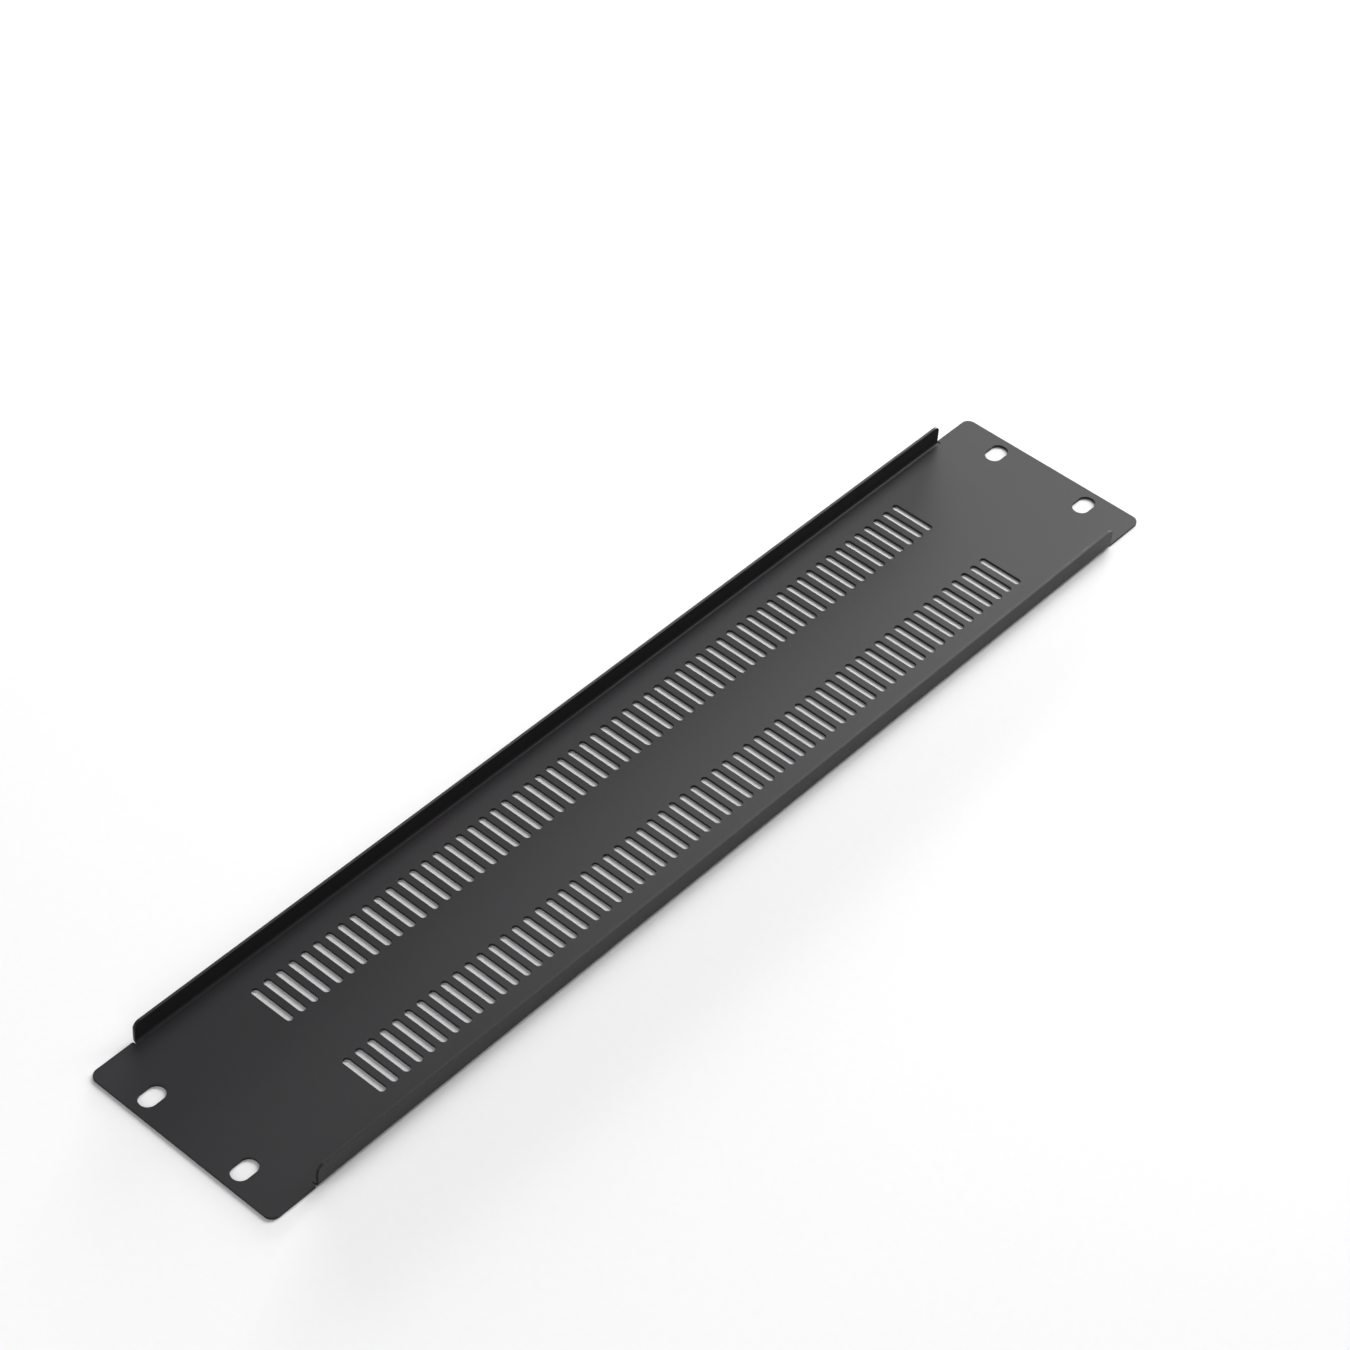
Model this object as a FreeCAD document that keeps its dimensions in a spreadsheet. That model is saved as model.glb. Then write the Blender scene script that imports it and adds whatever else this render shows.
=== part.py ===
# Vented blanking panel for a 19 inch rack, two rack units high.
# It is one piece of sheet steel: a flat blank with punched slots and vents, whose two long edges
# are folded towards the rack into stiffening flanges. The flanges stop short of the ends, and
# the flat ears left there bolt to the rack's rails.
# Frame: millimetres, X along the panel, Y from its lower to its upper edge, Z from the front
# face (z = 0) into the rack. The origin is the middle of the front face.
import FreeCAD, Part
import math
import os
import Sketcher
from types import SimpleNamespace
from FreeCAD import Vector

# Driving sizes: name, value and what it measures
DRIVING = [
    ("rack_unit", 44.45, "height of one rack unit, and the step from one row of holes to the next"),
    ("unit_count", 2, "rack units that the panel covers"),
    ("height_gap", 0.8, "height that the ears leave free in those units"),
    ("panel_width", 482.6, "panel from ear end to ear end"),
    ("sheet", 1.1, "thickness of the coated steel"),
    ("ear_width", 20.8, "ear end to the end of a flange"),
    ("ear_corner", 3.5, "radius of the ears' outer corners"),
    ("flange_rise", 10.0, "front face to the cut edge of a flange"),
    ("flange_outset", 0.5, "how far a flange stands outside the ears' edge"),
    ("flange_corner", 2.8, "radius of the flanges' upper corners"),
    ("bend_inside", 1.0, "inner radius of the folds"),
    ("relief_gap", 0.5, "width of the notch between an ear and a flange"),
    ("relief_extra", 0.3, "how far that notch runs past the fold into the flat web"),
    ("relief_corner", 0.6, "radius of an ear's corner beside the notch"),
    ("slot_inset", 8.75, "ear end to the middle of a mounting slot"),
    ("slot_length", 10.8, "mounting slot from end to end"),
    ("slot_width", 7.1, "mounting slot across"),
    ("vent_count", 60, "vents in a row"),
    ("vent_pitch", 6.0, "middle of one vent to the middle of the next"),
    ("vent_length", 19.6, "vent from end to end"),
    ("vent_width", 3.0, "vent across"),
    ("vent_shift", 0.4, "how far the rows of vents lie towards +X from the panel's middle"),
    ("vent_chords", 6, "equal chords that make each round end of a vent"),
]

# Sizes that follow from the driving ones
FOLLOWING = [
    ("ear_height", "=rack_unit * unit_count - height_gap", "ear from its lower to its upper edge"),
    ("flange_span", "=ear_height + 2 * flange_outset", "flange to flange, over their outsides"),
    ("flange_run", "=panel_width - 2 * ear_width", "length of a flange"),
    ("bend_outside", "=bend_inside + sheet", "outer radius of the folds"),
    ("neck_span", "=flange_span - 2 * (bend_outside + relief_extra)", "web between two notches"),
    ("slot_span", "=panel_width - 2 * slot_inset", "slot to slot along the panel"),
    ("row_span", "=(unit_count - 1) * rack_unit", "first to last row of holes"),
    ("vent_span", "=(vent_count - 1) * vent_pitch", "first to last vent of a row"),
]

# The end of a line or arc that a constraint holds, and a sketch's own origin and axes
START = 1
END = 2
CENTRE = 3
ORIGIN = (-1, START)
LEVEL_AXIS = -1
UPRIGHT_AXIS = -2

# Two places nearer than this are the same
NEAR = 0.001


def write_sizes(doc):
    """Writes the sizes into a spreadsheet and returns their values by name."""
    sheet = doc.addObject("Spreadsheet::Sheet", "Sizes")
    for row, (name, value, meaning) in enumerate(DRIVING + FOLLOWING, start=1):
        sheet.set(f"A{row}", meaning)
        sheet.set(f"B{row}", str(value))
        sheet.setAlias(f"B{row}", name)
    doc.recompute()
    values = {name: sheet.get(name) for name, value, meaning in DRIVING + FOLLOWING}
    return SimpleNamespace(**values)


def origin_part(body, role):
    """The body's own origin plane or axis with this role."""
    for item in body.Origin.OriginFeatures:
        if item.Role == role:
            return item
    raise ValueError(f"the body has no {role}")


def new_sketch(body, name, plane):
    """An empty sketch on one of the body's origin planes."""
    sketch = body.newObject("Sketcher::SketchObject", name)
    sketch.AttachmentSupport = (origin_part(body, plane), [""])
    sketch.MapMode = "FlatFace"
    return sketch


def constrain(sketch, kind, *where):
    """A constraint without a size, such as Equal or Tangent."""
    sketch.addConstraint(Sketcher.Constraint(kind, *where))


def dimension(sketch, expression, kind, *where):
    """A dimension that keeps to an expression on the spreadsheet's sizes."""
    value = float(sketch.evalExpression(expression))
    index = sketch.addConstraint(Sketcher.Constraint(kind, *where, value))
    sketch.setExpression(f"Constraints[{index}]", expression)


def draw_outline(sketch, corners):
    """Draws a closed outline of level and upright lines through corners (x, y, radius).

    The corners run anticlockwise. A radius above zero rounds its corner with an arc that is
    tangent to both lines. Returns the lines, each from one corner to the next, and the arcs.
    """
    places = [Vector(x, y, 0) for x, y, radius in corners]
    radii = [radius for x, y, radius in corners]
    following = places[1:] + places[:1]
    ways = [(goal - place).normalize() for place, goal in zip(places, following)]
    lines = []
    for place, goal, way, radius, next_radius in zip(places, following, ways, radii, radii[1:] + radii[:1]):
        line = Part.LineSegment(place + way * radius, goal - way * next_radius)
        lines.append(sketch.addGeometry(line))
        constrain(sketch, "Vertical" if abs(way.y) > abs(way.x) else "Horizontal", lines[-1])
    arcs = []
    for i, (place, radius) in enumerate(zip(places, radii)):
        before = ways[i - 1]
        after = ways[i]
        if radius == 0:
            constrain(sketch, "Coincident", lines[i - 1], END, lines[i], START)
            continue
        centre = place + (after - before) * radius
        middle = centre + (before - after).normalize() * radius
        arc = sketch.addGeometry(Part.Arc(place - before * radius, middle, place + after * radius))
        turns_left = before.cross(after).z > 0
        first, last = (START, END) if turns_left else (END, START)
        constrain(sketch, "Tangent", lines[i - 1], END, arc, first)
        constrain(sketch, "Tangent", arc, last, lines[i], START)
        arcs.append(arc)
    return lines, arcs


def draw_slot(sketch, centre, reach, width):
    """Draws a level round-ended slot whose end arcs are centred reach to each side of its middle.

    Returns the left arc and the right arc.
    """
    half = width / 2
    left = centre - Vector(reach, 0, 0)
    right = centre + Vector(reach, 0, 0)
    up = Vector(0, half, 0)
    out = Vector(half, 0, 0)
    lower = sketch.addGeometry(Part.LineSegment(left - up, right - up))
    right_arc = sketch.addGeometry(Part.Arc(right - up, right + out, right + up))
    upper = sketch.addGeometry(Part.LineSegment(right + up, left + up))
    left_arc = sketch.addGeometry(Part.Arc(left + up, left - out, left - up))
    loop = [lower, right_arc, upper, left_arc]
    for item, following in zip(loop, loop[1:] + loop[:1]):
        constrain(sketch, "Tangent", item, END, following, START)
    constrain(sketch, "Equal", left_arc, right_arc)
    constrain(sketch, "Horizontal", lower)
    return left_arc, right_arc


def draw_chords(sketch, centre, radius, chords, start_angle):
    """Draws half a turn of equal chords inside a guide circle, anticlockwise from an angle.

    Returns the guide circle, the first chord and the last one.
    """
    circle = sketch.addGeometry(Part.Circle(centre, Vector(0, 0, 1), radius), True)
    step = math.pi / chords
    angles = [start_angle + step * i for i in range(chords + 1)]
    points = [centre + Vector(math.cos(angle), math.sin(angle), 0) * radius for angle in angles]
    lines = [sketch.addGeometry(Part.LineSegment(a, b)) for a, b in zip(points, points[1:])]
    for line, following in zip(lines, lines[1:]):
        constrain(sketch, "Coincident", line, END, following, START)
        constrain(sketch, "Equal", line, following)
        constrain(sketch, "PointOnObject", following, START, circle)
    constrain(sketch, "PointOnObject", lines[0], START, circle)
    constrain(sketch, "PointOnObject", lines[-1], END, circle)
    constrain(sketch, "Horizontal", circle, CENTRE, lines[0], START)
    constrain(sketch, "Horizontal", circle, CENTRE, lines[-1], END)
    return circle, lines[0], lines[-1]


def pad_channel(body, size):
    """The folded run of the panel, web, two folds and two flanges, from its section."""
    sketch = new_sketch(body, "channel_section", "YZ_Plane")
    outside = size.flange_span / 2
    inside = outside - size.sheet
    lines, arcs = draw_outline(sketch, [
        (outside, 0, size.bend_outside),
        (outside, size.flange_rise, 0),
        (inside, size.flange_rise, 0),
        (inside, size.sheet, size.bend_inside),
        (-inside, size.sheet, size.bend_inside),
        (-inside, size.flange_rise, 0),
        (-outside, size.flange_rise, 0),
        (-outside, 0, size.bend_outside),
    ])
    upper_wall, upper_rim, upper_inner, web_back, lower_inner, lower_rim, lower_wall, web_front = lines
    upper_fold, upper_inner_fold, lower_inner_fold, lower_fold = arcs
    constrain(sketch, "PointOnObject", web_front, START, LEVEL_AXIS)
    constrain(sketch, "Symmetric", upper_wall, END, lower_wall, START, UPRIGHT_AXIS)
    constrain(sketch, "Equal", upper_rim, lower_rim)
    constrain(sketch, "Equal", upper_fold, lower_fold)
    constrain(sketch, "Equal", upper_inner_fold, lower_inner_fold)
    dimension(sketch, "Sizes.flange_span", "DistanceX", lower_wall, START, upper_wall, END)
    dimension(sketch, "Sizes.flange_rise", "DistanceY", *ORIGIN, upper_wall, END)
    dimension(sketch, "Sizes.sheet", "DistanceX", upper_rim, END, upper_rim, START)
    dimension(sketch, "Sizes.sheet", "DistanceY", *ORIGIN, web_back, START)
    dimension(sketch, "Sizes.bend_outside", "Radius", upper_fold)
    dimension(sketch, "Sizes.bend_inside", "Radius", upper_inner_fold)

    channel = body.newObject("PartDesign::Pad", "channel")
    channel.Profile = sketch
    channel.Midplane = True
    channel.setExpression("Length", "Sizes.flange_run")
    body.Document.recompute()
    return channel


def round_flange_corners(body, channel, size):
    """Rounds the corners where the flanges' cut edges meet their ends."""
    corners = []
    for number, edge in enumerate(channel.Shape.Edges, start=1):
        tail, head = [vertex.Point for vertex in edge.Vertexes]
        on_rim = abs(tail.z - size.flange_rise) < NEAR and abs(head.z - size.flange_rise) < NEAR
        if on_rim and abs(tail.x - head.x) < NEAR:
            corners.append(f"Edge{number}")
    rounded = body.newObject("PartDesign::Fillet", "flange_corners")
    rounded.Base = (channel, corners)
    rounded.setExpression("Radius", "Sizes.flange_corner")
    return rounded


def pad_ears(body, size):
    """The flat ear at the +X end, notched off from the flanges, and its mirror image."""
    sketch = new_sketch(body, "ear_outline", "XY_Plane")
    seam = size.flange_run / 2
    inner = seam + size.relief_gap
    outer = size.panel_width / 2
    edge = size.ear_height / 2
    neck = size.neck_span / 2
    lines, arcs = draw_outline(sketch, [
        (seam, -neck, 0),
        (inner, -neck, 0),
        (inner, -edge, size.relief_corner),
        (outer, -edge, size.ear_corner),
        (outer, edge, size.ear_corner),
        (inner, edge, size.relief_corner),
        (inner, neck, 0),
        (seam, neck, 0),
    ])
    lower_neck, lower_notch, lower_edge, ear_end, upper_edge, upper_notch, upper_neck, seam_line = lines
    lower_relief, lower_corner, upper_corner, upper_relief = arcs
    constrain(sketch, "Symmetric", lower_edge, START, upper_edge, END, LEVEL_AXIS)
    constrain(sketch, "Equal", lower_notch, upper_notch)
    constrain(sketch, "Equal", lower_relief, upper_relief)
    constrain(sketch, "Equal", lower_corner, upper_corner)
    dimension(sketch, "Sizes.flange_run / 2", "DistanceX", *ORIGIN, seam_line, START)
    dimension(sketch, "Sizes.panel_width / 2", "DistanceX", *ORIGIN, ear_end, START)
    dimension(sketch, "Sizes.relief_gap", "DistanceX", lower_neck, START, lower_neck, END)
    dimension(sketch, "Sizes.neck_span", "DistanceY", seam_line, END, seam_line, START)
    dimension(sketch, "Sizes.ear_height", "DistanceY", lower_edge, START, upper_edge, END)
    dimension(sketch, "Sizes.relief_corner", "Radius", lower_relief)
    dimension(sketch, "Sizes.ear_corner", "Radius", lower_corner)

    ear = body.newObject("PartDesign::Pad", "ear")
    ear.Profile = sketch
    ear.setExpression("Length", "Sizes.sheet")
    body.Document.recompute()

    other_ear = body.newObject("PartDesign::Mirrored", "other_ear")
    other_ear.Originals = [ear]
    other_ear.MirrorPlane = (origin_part(body, "YZ_Plane"), [""])
    body.Tip = other_ear
    return other_ear


def punch(body, sketch, name, step, count):
    """Punches a sketch through the sheet and repeats it along the panel, a row for each unit."""
    hole = body.newObject("PartDesign::Pocket", name)
    hole.Profile = sketch
    hole.Reversed = True
    hole.setExpression("Length", "Sizes.sheet")
    body.Document.recompute()

    holes = body.newObject("PartDesign::LinearPattern", name + "_rows")
    holes.Originals = [hole]
    holes.Direction = (origin_part(body, "X_Axis"), [""])
    holes.Mode = "Spacing"
    holes.setExpression("Offset", step)
    holes.setExpression("Occurrences", count)
    holes.Direction2 = (origin_part(body, "Y_Axis"), [""])
    holes.Mode2 = "Extent"
    holes.setExpression("Length2", "Sizes.row_span")
    holes.setExpression("Occurrences2", "Sizes.unit_count")
    body.Tip = holes
    body.Document.recompute()
    return holes


def punch_slots(body, size):
    """The mounting slots: one at each end of every unit's row, lying along the panel."""
    sketch = new_sketch(body, "slot_outline", "XY_Plane")
    centre = Vector(-size.slot_span / 2, -size.row_span / 2, 0)
    reach = (size.slot_length - size.slot_width) / 2
    left_arc, right_arc = draw_slot(sketch, centre, reach, size.slot_width)
    dimension(sketch, "Sizes.slot_width / 2", "Radius", left_arc)
    dimension(sketch, "Sizes.slot_length - Sizes.slot_width", "DistanceX", left_arc, CENTRE, right_arc, CENTRE)
    dimension(sketch, "-(Sizes.slot_span + Sizes.slot_length - Sizes.slot_width) / 2", "DistanceX",
              *ORIGIN, left_arc, CENTRE)
    dimension(sketch, "-Sizes.row_span / 2", "DistanceY", *ORIGIN, left_arc, CENTRE)
    return punch(body, sketch, "slot", "Sizes.slot_span", "2")


def punch_vents(body, size):
    """The rows of narrow upright vents, one row for each unit.

    There are so many that each round end is cut as a few equal chords of its circle.
    """
    sketch = new_sketch(body, "vent_outline", "XY_Plane")
    centre = Vector(size.vent_shift - size.vent_span / 2, -size.row_span / 2, 0)
    reach = Vector(0, (size.vent_length - size.vent_width) / 2, 0)
    radius = size.vent_width / 2
    upper, upper_first, upper_last = draw_chords(sketch, centre + reach, radius, size.vent_chords, 0)
    lower, lower_first, lower_last = draw_chords(sketch, centre - reach, radius, size.vent_chords, math.pi)
    side = Vector(radius, 0, 0)
    left = sketch.addGeometry(Part.LineSegment(centre + reach - side, centre - reach - side))
    right = sketch.addGeometry(Part.LineSegment(centre - reach + side, centre + reach + side))
    constrain(sketch, "Coincident", upper_last, END, left, START)
    constrain(sketch, "Coincident", left, END, lower_first, START)
    constrain(sketch, "Coincident", lower_last, END, right, START)
    constrain(sketch, "Coincident", right, END, upper_first, START)
    constrain(sketch, "Vertical", left)
    constrain(sketch, "Vertical", right)
    dimension(sketch, "Sizes.vent_width / 2", "Radius", lower)
    dimension(sketch, "Sizes.vent_length - Sizes.vent_width", "DistanceY", lower, CENTRE, upper, CENTRE)
    dimension(sketch, "Sizes.vent_shift - Sizes.vent_span / 2", "DistanceX", *ORIGIN, lower, CENTRE)
    dimension(sketch, "-(Sizes.row_span + Sizes.vent_length - Sizes.vent_width) / 2", "DistanceY",
              *ORIGIN, lower, CENTRE)
    return punch(body, sketch, "vent", "Sizes.vent_pitch", "Sizes.vent_count")


def check_panel(doc, body):
    """Stops before anything is written if a feature failed or the panel isn't one sound solid."""
    for item in doc.Objects:
        if "Invalid" in item.State or "Error" in item.State:
            raise RuntimeError(f"{item.Name} failed: {item.State}")
        if item.isDerivedFrom("Sketcher::SketchObject") and not item.FullyConstrained:
            raise RuntimeError(f"{item.Name} is not fully constrained")
    shape = body.Shape
    if shape.isNull() or not shape.isValid() or len(shape.Solids) != 1:
        raise RuntimeError("the panel is not one valid solid")


def check_cut(before, after):
    """Stops if a punched pattern took nothing away."""
    if after.Shape.Volume >= before.Shape.Volume:
        raise RuntimeError(f"{after.Name} cut nothing")


def build():
    """Models the panel and writes its solid to a STEP file with the panel's label as its name."""
    doc = FreeCAD.newDocument("rack_blanking_panel")
    size = write_sizes(doc)
    body = doc.addObject("PartDesign::Body", "vented_panel")
    body.Label = "vented_panel"
    body.Placement = FreeCAD.Placement()

    channel = pad_channel(body, size)
    round_flange_corners(body, channel, size)
    folded = pad_ears(body, size)
    slotted = punch_slots(body, size)
    vented = punch_vents(body, size)
    check_cut(folded, slotted)
    check_cut(slotted, vented)
    check_panel(doc, body)

    os.makedirs("parts", exist_ok=True)
    body.Shape.exportStep(f"parts/{body.Label}.step")
    box = body.Shape.BoundBox
    print(f"{body.Label}: {box.XLength:.2f} x {box.YLength:.2f} x {box.ZLength:.2f} mm")
    print(f"{body.Label}: {body.Shape.Volume:.1f} cubic mm, {len(body.Shape.Faces)} faces")


build()
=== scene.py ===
# %% [markdown]
# # A vented blanking panel for a 19 inch rack
#
# The real panel is one piece of sheet steel, 1.1 mm thick, two rack units high. A punch cuts the
# slots and the two rows of vents in the flat blank, a press folds its long edges into flanges, and
# it is then powder coated satin black. This lesson models it again in that order, on the size of
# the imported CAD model, because the CAD mesh has sharp edges, faceted folds and vent ends of a few
# chords. The coated sheet has none of these: its edges are soft and its folds smooth, and both
# catch light.

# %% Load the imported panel
import math

import bmesh
import bpy
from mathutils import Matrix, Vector


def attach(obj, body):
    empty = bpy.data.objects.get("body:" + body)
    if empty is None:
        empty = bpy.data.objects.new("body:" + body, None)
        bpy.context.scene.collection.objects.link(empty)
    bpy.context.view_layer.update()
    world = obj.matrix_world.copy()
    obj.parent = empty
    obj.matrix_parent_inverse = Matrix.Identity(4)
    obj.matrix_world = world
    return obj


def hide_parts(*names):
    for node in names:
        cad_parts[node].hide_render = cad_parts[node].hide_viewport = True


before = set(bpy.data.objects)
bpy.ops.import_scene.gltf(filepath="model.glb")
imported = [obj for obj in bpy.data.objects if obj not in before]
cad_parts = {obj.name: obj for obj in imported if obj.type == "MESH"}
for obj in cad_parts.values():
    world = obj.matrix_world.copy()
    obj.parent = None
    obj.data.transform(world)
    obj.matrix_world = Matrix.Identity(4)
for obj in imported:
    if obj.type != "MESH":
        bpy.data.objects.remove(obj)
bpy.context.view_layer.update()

MM = 0.001

# %% [markdown]
# ## The sizes
#
# These are the CAD model's sizes. Only a small part of the panel has to be modelled: its outline is
# the same on both sides of its two middle lines, so one quarter is enough, and the quarter's thirty
# vents are one vent in an array. Only the rows of vents lie a little off the middle, by VENT_SHIFT.

# %% Write down the sizes
PANEL_WIDTH = 482.6 * MM
RACK_UNIT = 44.45 * MM
SHEET = 1.1 * MM

EAR_WIDTH = 20.8 * MM
EAR_HEIGHT = 88.1 * MM
EAR_CORNER = 3.5 * MM

FLANGE_RISE = 10.0 * MM
FLANGE_SPAN = 89.1 * MM
FLANGE_CORNER = 2.8 * MM
FOLD_OUTSIDE = 2.1 * MM

NOTCH_GAP = 0.5 * MM
NOTCH_PAST_FOLD = 0.3 * MM
NOTCH_CORNER = 0.6 * MM

SLOT_INSET = 8.75 * MM
SLOT_LENGTH = 10.8 * MM
SLOT_WIDTH = 7.1 * MM

VENT_COUNT = 60
VENT_PITCH = 6.0 * MM
VENT_LENGTH = 19.6 * MM
VENT_WIDTH = 3.0 * MM
VENT_SHIFT = 0.4 * MM

END_X = PANEL_WIDTH / 2
FLANGE_END_X = END_X - EAR_WIDTH
EAR_START_X = FLANGE_END_X + NOTCH_GAP
VENTS_END_X = VENT_COUNT / 2 * VENT_PITCH
FOLD_LINE_Y = FLANGE_SPAN / 2 - FOLD_OUTSIDE
NECK_Y = FOLD_LINE_Y - NOTCH_PAST_FOLD
EAR_Y = EAR_HEIGHT / 2
ROW_Y = RACK_UNIT / 2
SLOT_X = END_X - SLOT_INSET
print("slots apart in mm:", round(2 * SLOT_X / MM, 2), "by", round(2 * ROW_Y / MM, 2))

# %% [markdown]
# ## Working by hand in code
#
# An operator acts on what is selected. So each step first deselects everything, then opens one
# piece and picks the vertices, edges or faces that lie at one place in it. Places closer than a
# micrometre count as the same.

# %% Define how to select
SAME = 0.001 * MM


def at(value, goal):
    """True where a coordinate is at a goal."""
    return abs(value - goal) < SAME


def start_fresh():
    """Goes back to object mode with nothing selected."""
    if bpy.context.mode != "OBJECT":
        bpy.ops.object.mode_set(mode="OBJECT")
    bpy.ops.object.select_all(action="DESELECT")


def choose(piece):
    """Selects one piece and nothing else, in object mode."""
    start_fresh()
    piece.select_set(True)
    bpy.context.view_layer.objects.active = piece


def edit(piece):
    """Opens one piece in edit mode."""
    choose(piece)
    bpy.ops.object.mode_set(mode="EDIT")


def pick(kind, test):
    """In edit mode, selects just the VERT, EDGE or FACE items that pass a test, and counts them."""
    bpy.ops.mesh.select_all(action="DESELECT")
    bpy.ops.mesh.select_mode(type=kind)
    mesh = bmesh.from_edit_mesh(bpy.context.object.data)
    items = {"VERT": mesh.verts, "EDGE": mesh.edges, "FACE": mesh.faces}[kind]
    chosen = [item for item in items if test(item)]
    for item in chosen:
        item.select_set(True)
    bmesh.update_edit_mesh(bpy.context.object.data)
    return len(chosen)


def whole(test):
    """Turns a test on a place into one that an edge or face passes with all its vertices."""
    return lambda item: all(test(vert.co) for vert in item.verts)


# %% [markdown]
# ## One punched vent
#
# A vent is a rectangle whose corners are rounded by half its width, which makes both ends round.
# A second rectangle around it is the strip of web that belongs to this vent. With their faces
# taken away, only two outlines are left, and Fill makes the face between them: a strip with a hole.

# %% Define how to outline a hole
def add_rectangle(name, low_x, low_y, high_x, high_y):
    """Adds a flat rectangle at its size and place, at the level of the panel's front face."""
    start_fresh()
    middle = ((low_x + high_x) / 2, (low_y + high_y) / 2, 0)
    bpy.ops.mesh.primitive_plane_add(size=1, location=middle)
    piece = bpy.context.object
    piece.name = name
    piece.scale = (high_x - low_x, high_y - low_y, 1)
    bpy.ops.object.transform_apply(location=True, rotation=True, scale=True)
    return piece


def merge_doubles():
    """Merges the vertices that share a place."""
    bpy.ops.mesh.select_all(action="SELECT")
    bpy.ops.mesh.remove_doubles(threshold=SAME)


def round_corners(test, radius, steps):
    """Rounds the flat corners whose place passes a test."""
    pick("VERT", lambda vert: test(vert.co))
    bpy.ops.mesh.bevel(offset=radius, segments=steps, affect="VERTICES", clamp_overlap=False)
    merge_doubles()


def add_hole(name, x, y, width, height, steps):
    """Adds the outline of a round-ended hole, without a face."""
    piece = add_rectangle(name, x - width / 2, y - height / 2, x + width / 2, y + height / 2)
    edit(piece)
    round_corners(lambda place: True, min(width, height) / 2, steps)
    bpy.ops.mesh.delete(type="ONLY_FACE")
    start_fresh()
    return piece


def join(piece, other):
    """Joins another object into a piece."""
    choose(piece)
    other.select_set(True)
    bpy.ops.object.join()


# %% Make the first vent of the quarter
VENT_END_STEPS = 8

panel = add_rectangle("coated_panel", 0, 0, VENT_PITCH, FOLD_LINE_Y)
edit(panel)
bpy.ops.mesh.delete(type="ONLY_FACE")
vent = add_hole("vent", VENT_PITCH / 2, ROW_Y, VENT_WIDTH, VENT_LENGTH, VENT_END_STEPS)
join(panel, vent)
edit(panel)
bpy.ops.mesh.select_all(action="SELECT")
bpy.ops.mesh.fill(use_beauty=True)
start_fresh()
print("one vent's strip:", len(panel.data.polygons), "faces")

# %% [markdown]
# One punch steps along the real sheet, so all its vents are alike. An Array does the same: it
# repeats the strip at the vents' pitch and merges each copy with its neighbour into one sheet.

# %% Repeat the vent
def apply_modifiers(piece):
    """Applies every modifier of a piece."""
    choose(piece)
    for modifier in list(piece.modifiers):
        bpy.ops.object.modifier_apply(modifier=modifier.name)


vents = panel.modifiers.new("vents", "ARRAY")
vents.count = VENT_COUNT // 2
vents.use_relative_offset = False
vents.use_constant_offset = True
vents.constant_offset_displace = (VENT_PITCH, 0, 0)
vents.use_merge_vertices = True
vents.merge_threshold = SAME
apply_modifiers(panel)
print("a quarter row:", len(panel.data.polygons), "faces")

# %% [markdown]
# ## The plain end of the web, the neck and the ear
#
# Past the last vent the web goes on plain to where the flange ends. There a small notch parts the
# flange from the ear, so that the fold doesn't tear the sheet, and a neck joins the two. The edges
# are extruded one after another, and the ear's four-sided outline gets its corners rounded.

# %% Extrude the web's end, the neck and the ear
EAR_CORNER_STEPS = 8
NOTCH_CORNER_STEPS = 4


def extrude(x=0, y=0, z=0):
    """Extrudes what is selected by a distance along each axis."""
    bpy.ops.mesh.extrude_region_move(TRANSFORM_OT_translate={"value": (x, y, z)})


def on_ear(place):
    """True for a place on the ear, past the notch."""
    return place.x > EAR_START_X - SAME


edit(panel)
pick("EDGE", whole(lambda place: at(place.x, VENTS_END_X)))
extrude(x=FLANGE_END_X - VENTS_END_X)
pick("FACE", whole(lambda place: place.x > VENTS_END_X - SAME))
bpy.ops.mesh.bisect(plane_co=(0, NECK_Y, 0), plane_no=(0, 1, 0))
pick("EDGE", whole(lambda place: at(place.x, FLANGE_END_X) and place.y < NECK_Y + SAME))
extrude(x=NOTCH_GAP)
extrude(x=END_X - EAR_START_X)
pick("EDGE", whole(lambda place: at(place.y, NECK_Y) and on_ear(place)))
extrude(y=EAR_Y - NECK_Y)
pick("EDGE", whole(lambda place: at(place.y, NECK_Y) and on_ear(place)))
bpy.ops.mesh.dissolve_edges(use_verts=True)
round_corners(lambda place: at(place.x, END_X) and at(place.y, EAR_Y),
              EAR_CORNER, EAR_CORNER_STEPS)
round_corners(lambda place: at(place.x, EAR_START_X) and at(place.y, EAR_Y),
              NOTCH_CORNER, NOTCH_CORNER_STEPS)
print("faces in the ear:", pick("FACE", whole(on_ear)))

# %% [markdown]
# Each ear has two slots for the screws that hold the panel to the rack. They are made as the vents
# are: the ear's face goes, the slot's outline is joined in, and Fill closes the sheet around it.

# %% Punch the mounting slot
SLOT_END_STEPS = 12

pick("FACE", whole(on_ear))
bpy.ops.mesh.delete(type="ONLY_FACE")
slot = add_hole("slot", SLOT_X, ROW_Y, SLOT_LENGTH, SLOT_WIDTH, SLOT_END_STEPS)
join(panel, slot)
edit(panel)
pick("EDGE", whole(on_ear))
bpy.ops.mesh.fill(use_beauty=True)
start_fresh()
print("with the ear:", len(panel.data.polygons), "faces")

# %% [markdown]
# ## The fold and the flange
#
# A press folds the sheet about a line inside its corner. Spin does the same to an edge: it turns
# the fold line by a quarter about that axis and leaves a smooth arc of faces behind it. The flange
# then goes straight up, and its free corner is rounded.

# %% Spin the fold and raise the flange
FOLD_STEPS = 8
FLANGE_CORNER_STEPS = 6

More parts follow.
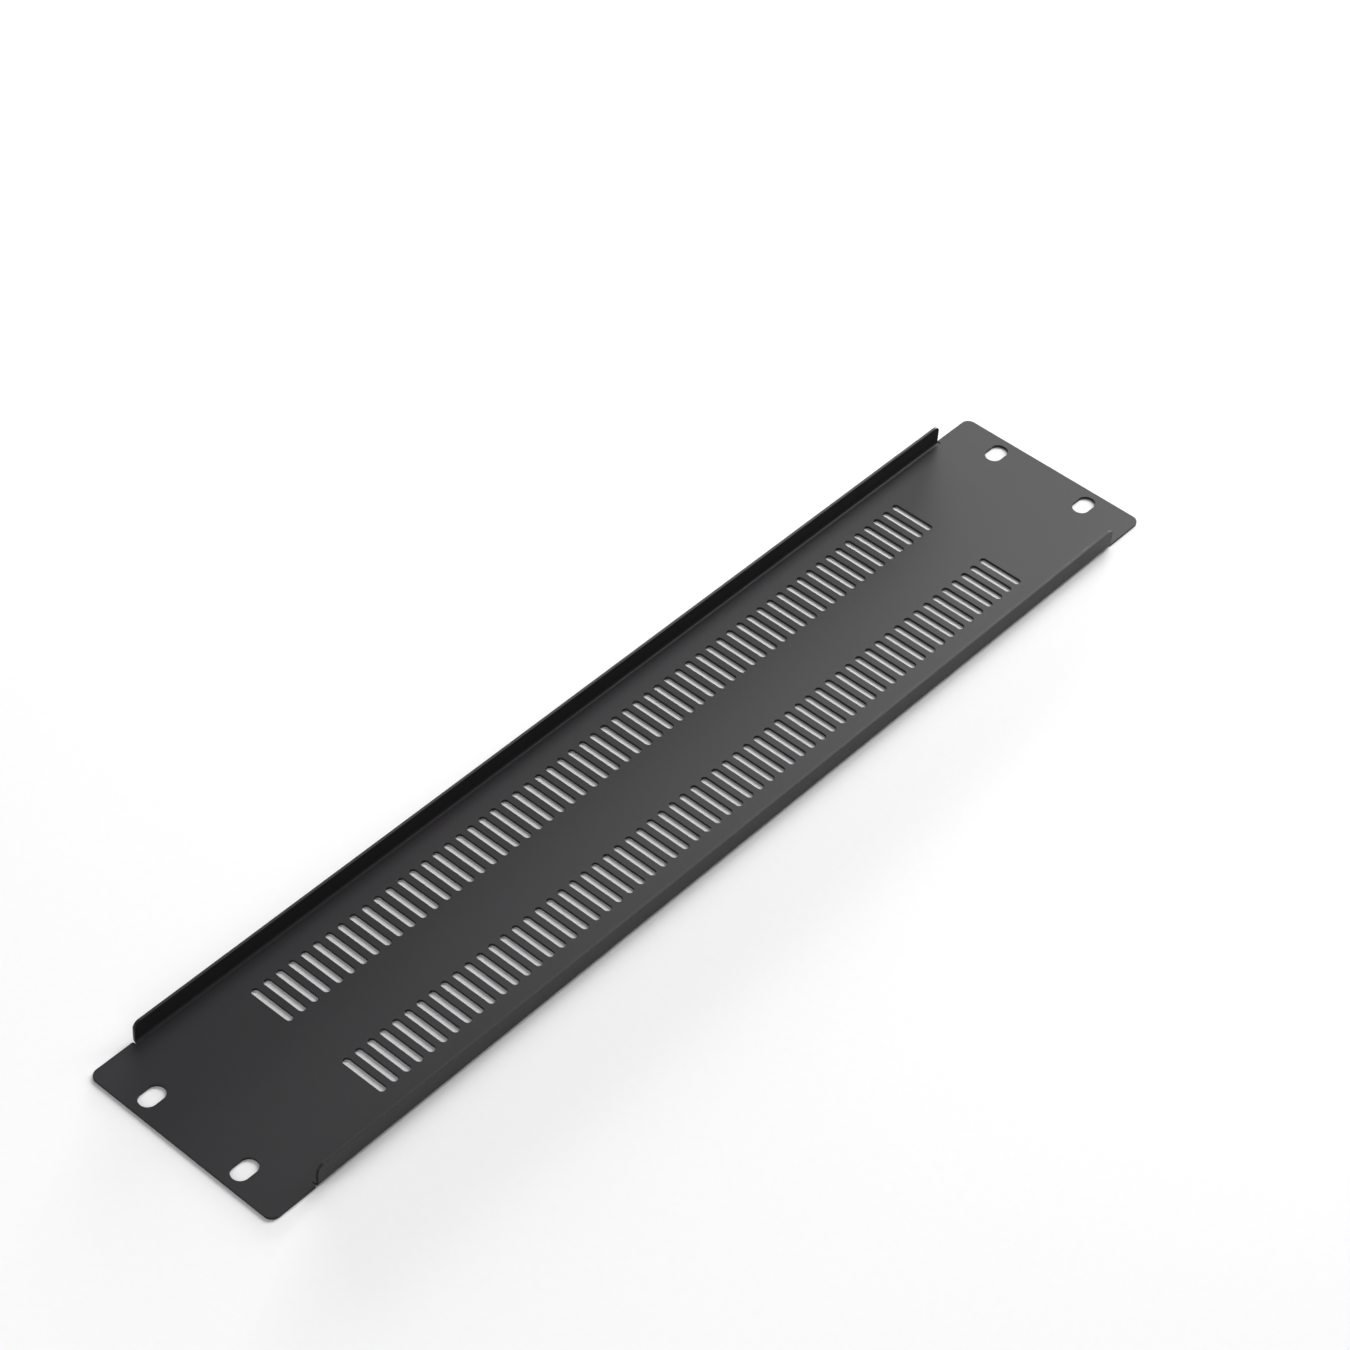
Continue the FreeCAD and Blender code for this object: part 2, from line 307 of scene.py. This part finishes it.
edit(panel)
pick("EDGE", whole(lambda place: at(place.y, FOLD_LINE_Y)))
bpy.ops.mesh.spin(steps=FOLD_STEPS, angle=math.pi / 2,
                  center=(0, FOLD_LINE_Y, FOLD_OUTSIDE), axis=(-1, 0, 0))
pick("EDGE", whole(lambda place: at(place.z, FOLD_OUTSIDE)))
extrude(z=FLANGE_RISE - FOLD_OUTSIDE)
round_corners(lambda place: at(place.x, FLANGE_END_X) and at(place.z, FLANGE_RISE),
              FLANGE_CORNER, FLANGE_CORNER_STEPS)
start_fresh()
print("a quarter panel:", len(panel.data.polygons), "faces")

# %% [markdown]
# ## The whole sheet
#
# Two mirrors make the whole panel from its quarter. A mirror turns the copies inside out, so the
# normals are made consistent once the doubles are merged. On an open sheet that can come out
# either way, and here the front face has to look down, away from the rack.

# %% Mirror the quarter
UPRIGHT = 0.9


def faces_up(face):
    """True for a face whose normal points up."""
    return face.normal.z > UPRIGHT


mirrors = panel.modifiers.new("mirrors", "MIRROR")
mirrors.use_axis = (True, True, False)
mirrors.merge_threshold = SAME
apply_modifiers(panel)
edit(panel)
merge_doubles()
bpy.ops.mesh.normals_make_consistent(inside=False)
if pick("FACE", faces_up):
    bpy.ops.mesh.select_all(action="SELECT")
    bpy.ops.mesh.flip_normals()
print("faces that look up:", pick("FACE", faces_up))

# %% [markdown]
# The rows of vents aren't quite in the middle of the real panel: both lie a little towards one end.
# The outlines of the holes are picked by their place in the web and moved there together.

# %% Move the rows of vents
moved = pick("VERT", lambda vert: abs(vert.co.x) < VENTS_END_X
             and abs(abs(vert.co.y) - ROW_Y) < VENT_LENGTH / 2 + SAME)
bpy.ops.transform.translate(value=(VENT_SHIFT, 0, 0))
print("moved", moved, "vertices of", 2 * VENT_COUNT, "vents")
start_fresh()

# %% [markdown]
# ## The thickness and the soft edges
#
# Solidify gives the sheet its 1.1 mm, inwards from the front face, and even thickness keeps it
# true round the folds. The powder coat melts before it sets and rounds every punched edge, so a
# small bevel goes round each of them. Weighted normals then keep the broad faces flat: without
# them the shading of the narrow bevels would spread over the web.

# %% Thicken the sheet and soften its edges
EDGE_RADIUS = 0.1 * MM
EDGE_STEPS = 2
SHARP_ANGLE = math.radians(40)

thickness = panel.modifiers.new("thickness", "SOLIDIFY")
thickness.thickness = SHEET
thickness.offset = -1
thickness.use_even_offset = True
thickness.use_quality_normals = True

soft_edges = panel.modifiers.new("soft_edges", "BEVEL")
soft_edges.width = EDGE_RADIUS
soft_edges.segments = EDGE_STEPS
soft_edges.limit_method = "ANGLE"
soft_edges.angle_limit = SHARP_ANGLE
soft_edges.use_clamp_overlap = False
soft_edges.loop_slide = False
soft_edges.face_strength_mode = "FSTR_ALL"

flat_faces = panel.modifiers.new("flat_faces", "WEIGHTED_NORMAL")
flat_faces.use_face_influence = True

choose(panel)
bpy.ops.object.shade_smooth()
apply_modifiers(panel)
print("finished panel:", len(panel.data.polygons), "faces")

# %% [markdown]
# ## The powder coat
#
# The finish is a satin black polyester powder coat. The powder melts on the hot steel and sets to
# a skin about 0.08 mm thick, which never levels quite flat: it keeps a low, fine orange peel, with
# dimples about 0.8 mm apart. The eye sees a near-black colour under a soft, wide highlight. The
# powder is never laid down quite evenly, so over some 90 mm the coat is a trace lighter or darker.
# The colours are sRGB hex values, which one function turns to the linear values that Blender
# works in.

# %% Define colours and nodes
def linear(hex_colour):
    """The linear colour of an sRGB hex value such as "2b2b2d"."""
    channels = [int(hex_colour[i:i + 2], 16) / 255 for i in (0, 2, 4)]
    levels = [c / 12.92 if c <= 0.04045 else ((c + 0.055) / 1.055) ** 2.4 for c in channels]
    return (*levels, 1.0)


def add_node(tree, kind, links=(), inputs=(), **settings):
    """Adds a node with its settings, input values and links (input, from node, from output)."""
    node = tree.nodes.new(kind)
    for name, value in settings.items():
        setattr(node, name, value)
    for name, value in inputs:
        node.inputs[name].default_value = value
    for name, other, output in links:
        tree.links.new(other.outputs[output], node.inputs[name])
    return node


def new_material(name):
    """A material with an empty node tree."""
    material = bpy.data.materials.new(name)
    material.use_nodes = True
    material.node_tree.nodes.clear()
    return material


# A Mix node has sockets for every kind of data, and these are the numbers of its colour ones.
MIX_FIRST = 6
MIX_SECOND = 7
MIX_RESULT = 2
print("a mid grey in linear values:", round(linear("808080")[0], 3))

# %% Mix the satin black powder coat
COAT_COLOURS = ("262527", "2b292b")
COAT_GRAIN = 0.8 * MM
COAT_CLOUDS = 90 * MM
PEEL_DEPTH = 0.02 * MM
PEEL_STRENGTH = 0.25
GRAIN_LEVELS = (0.3, 0.7)
COAT_ROUGHNESS = (0.34, 0.42)

coat = new_material("satin_black_powder_coat")
tree = coat.node_tree
place = add_node(tree, "ShaderNodeTexCoord")
grain = add_node(tree, "ShaderNodeTexNoise", [("Vector", place, "Object")],
                 [("Scale", 1 / COAT_GRAIN), ("Detail", 2.0), ("Roughness", 0.5)])
clouds = add_node(tree, "ShaderNodeTexNoise", [("Vector", place, "Object")],
                  [("Scale", 1 / COAT_CLOUDS), ("Detail", 3.0)])
colour = add_node(tree, "ShaderNodeMix", data_type="RGBA", links=[("Factor", clouds, "Fac")],
                  inputs=[(MIX_FIRST, linear(COAT_COLOURS[0])), (MIX_SECOND, linear(COAT_COLOURS[1]))])
rough = add_node(tree, "ShaderNodeMapRange", [("Value", grain, "Fac")], [
    ("From Min", GRAIN_LEVELS[0]), ("From Max", GRAIN_LEVELS[1]),
    ("To Min", COAT_ROUGHNESS[0]), ("To Max", COAT_ROUGHNESS[1])])
peel = add_node(tree, "ShaderNodeBump", [("Height", grain, "Fac")],
                [("Strength", PEEL_STRENGTH), ("Distance", PEEL_DEPTH)])
surface = add_node(tree, "ShaderNodeBsdfPrincipled", [
    ("Base Color", colour, MIX_RESULT), ("Roughness", rough, "Result"), ("Normal", peel, "Normal")],
    [("IOR", 1.5), ("Specular IOR Level", 0.15)])
add_node(tree, "ShaderNodeOutputMaterial", [("Surface", surface, "BSDF")])

panel.data.materials.clear()
panel.data.materials.append(coat)
print(coat.name, "has", len(tree.nodes), "nodes")

# %% [markdown]
# ## The panel takes its place in the frame
#
# The finished sheet stands for the CAD node of the same panel and rides on its only body.

# %% Put the panel in the frame
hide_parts("vented_panel")
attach(panel, "root")
print(panel.name, "stands for vented_panel and rides on root")

# %% [markdown]
# ## The floor
#
# The panel lies on a sweep of matt white paper, its front face down. Paper scatters light evenly,
# so the eye sees no highlight on it, only the panel's soft shadow. Its fibres are far too fine to
# show here, so their pattern is drawn 3 mm wide. The floor is a hair lower than the panel, so that
# the two faces don't share a plane.

# %% Lay the floor
PAPER_COLOURS = ("e9e8e9", "ecebec")
PAPER_FIBRES = 3 * MM
PAPER_ROUGHNESS = 0.9
FLOOR_SIZE = 8
FLOOR_DROP = 0.05 * MM

paper = new_material("matt_paper_sweep")
tree = paper.node_tree
place = add_node(tree, "ShaderNodeTexCoord")
fibres = add_node(tree, "ShaderNodeTexNoise", [("Vector", place, "Object")],
                  [("Scale", 1 / PAPER_FIBRES)])
tint = add_node(tree, "ShaderNodeMix", data_type="RGBA", links=[("Factor", fibres, "Fac")],
                inputs=[(MIX_FIRST, linear(PAPER_COLOURS[0])), (MIX_SECOND, linear(PAPER_COLOURS[1]))])
surface = add_node(tree, "ShaderNodeBsdfPrincipled", [("Base Color", tint, MIX_RESULT)],
                   [("Roughness", PAPER_ROUGHNESS)])
add_node(tree, "ShaderNodeOutputMaterial", [("Surface", surface, "BSDF")])

start_fresh()
bpy.ops.mesh.primitive_plane_add(size=FLOOR_SIZE, location=(0, 0, -FLOOR_DROP))
floor = bpy.context.object
floor.name = "floor"
floor.data.materials.append(paper)
print("floor:", [round(side, 1) for side in floor.dimensions], "m")

# %% [markdown]
# ## The light
#
# Two long strips stand low beyond the panel's far right corner, and the satin coat mirrors their
# falling edges: that is why the web grows lighter from left to right. Higher boxes on the same side
# shine into the vents, so their left part is bright and their right walls stay dark. Two small
# boxes at the left and near side and a dim pale room soften the shadows.

# %% Set the lights
BOX_SIZE = 0.9
STRIP_HEIGHT = 0.3
BOX_DISTANCE = 2.0
SMALL_BOX_SIZE = 0.5
SMALL_BOX_DISTANCE = 1.0


def add_soft_box(name, turn, height, brightness, size=(BOX_SIZE, BOX_SIZE), distance=BOX_DISTANCE):
    """An area light that faces the panel from a turn and a height in degrees."""
    light = bpy.data.lights.new(name, "AREA")
    light.shape = "RECTANGLE"
    light.size, light.size_y = size
    light.energy = brightness * math.pi * size[0] * size[1]
    holder = bpy.data.objects.new(name, light)
    bpy.context.scene.collection.objects.link(holder)
    turn, height = math.radians(turn), math.radians(height)
    level = math.cos(height)
    away = Vector((math.cos(turn) * level, math.sin(turn) * level, math.sin(height)))
    holder.location = away * distance
    holder.rotation_euler = (-away).to_track_quat("-Z", "Y").to_euler()
    return holder


strip = (BOX_SIZE, STRIP_HEIGHT)
small_box = (SMALL_BOX_SIZE, SMALL_BOX_SIZE)
boxes = [
    add_soft_box("right_box", -10, 25, 10.2),
    add_soft_box("high_box_right", 5, 45, 8.8),
    add_soft_box("high_box_middle", 25, 45, 3.7),
    add_soft_box("high_box_far", 60, 45, 0.7),
    add_soft_box("low_strip_right", 35, 5, 62.0, strip),
    add_soft_box("low_strip_far", 60, 8, 21.4, strip),
    add_soft_box("left_box", 174, 24, 3.4, small_box, SMALL_BOX_DISTANCE),
    add_soft_box("near_box", 225, 30, 1.8, small_box, SMALL_BOX_DISTANCE),
]
for box in boxes:
    print(box.name, round(box.data.energy, 1), "W")

# %% Light the room
ROOM_COLOUR = "f4f4f6"
ROOM_STRENGTH = 0.11

world = bpy.data.worlds.new("pale_room")
world.use_nodes = True
background = world.node_tree.nodes["Background"]
background.inputs["Color"].default_value = linear(ROOM_COLOUR)
background.inputs["Strength"].default_value = ROOM_STRENGTH
bpy.context.scene.world = world
bpy.context.scene.view_settings.view_transform = "Standard"
print("room:", world.name, ROOM_STRENGTH)

# %% [markdown]
# ## The camera
#
# The camera stands where the photograph was taken from, at the panel's left and near side and well
# above it. Its place, its turn and its long lens were worked out from the panel's edges and holes.

# %% Set the camera
CAMERA_PLACE = (-0.74154, -0.57975, 0.97345)
CAMERA_TURN = (45.5225, -3.4894, -48.7152)
CAMERA_LENS = 97.854
CAMERA_SENSOR = 36
NEAREST = 0.05
FARTHEST = 50

camera = bpy.data.cameras.new("camera")
camera.lens = CAMERA_LENS
camera.sensor_width = CAMERA_SENSOR
camera.clip_start = NEAREST
camera.clip_end = FARTHEST
view = bpy.data.objects.new("camera", camera)
view.location = CAMERA_PLACE
view.rotation_euler = [math.radians(angle) for angle in CAMERA_TURN]
bpy.context.scene.collection.objects.link(view)
bpy.context.scene.camera = view
print("camera to panel:", round(view.location.length, 3), "m")
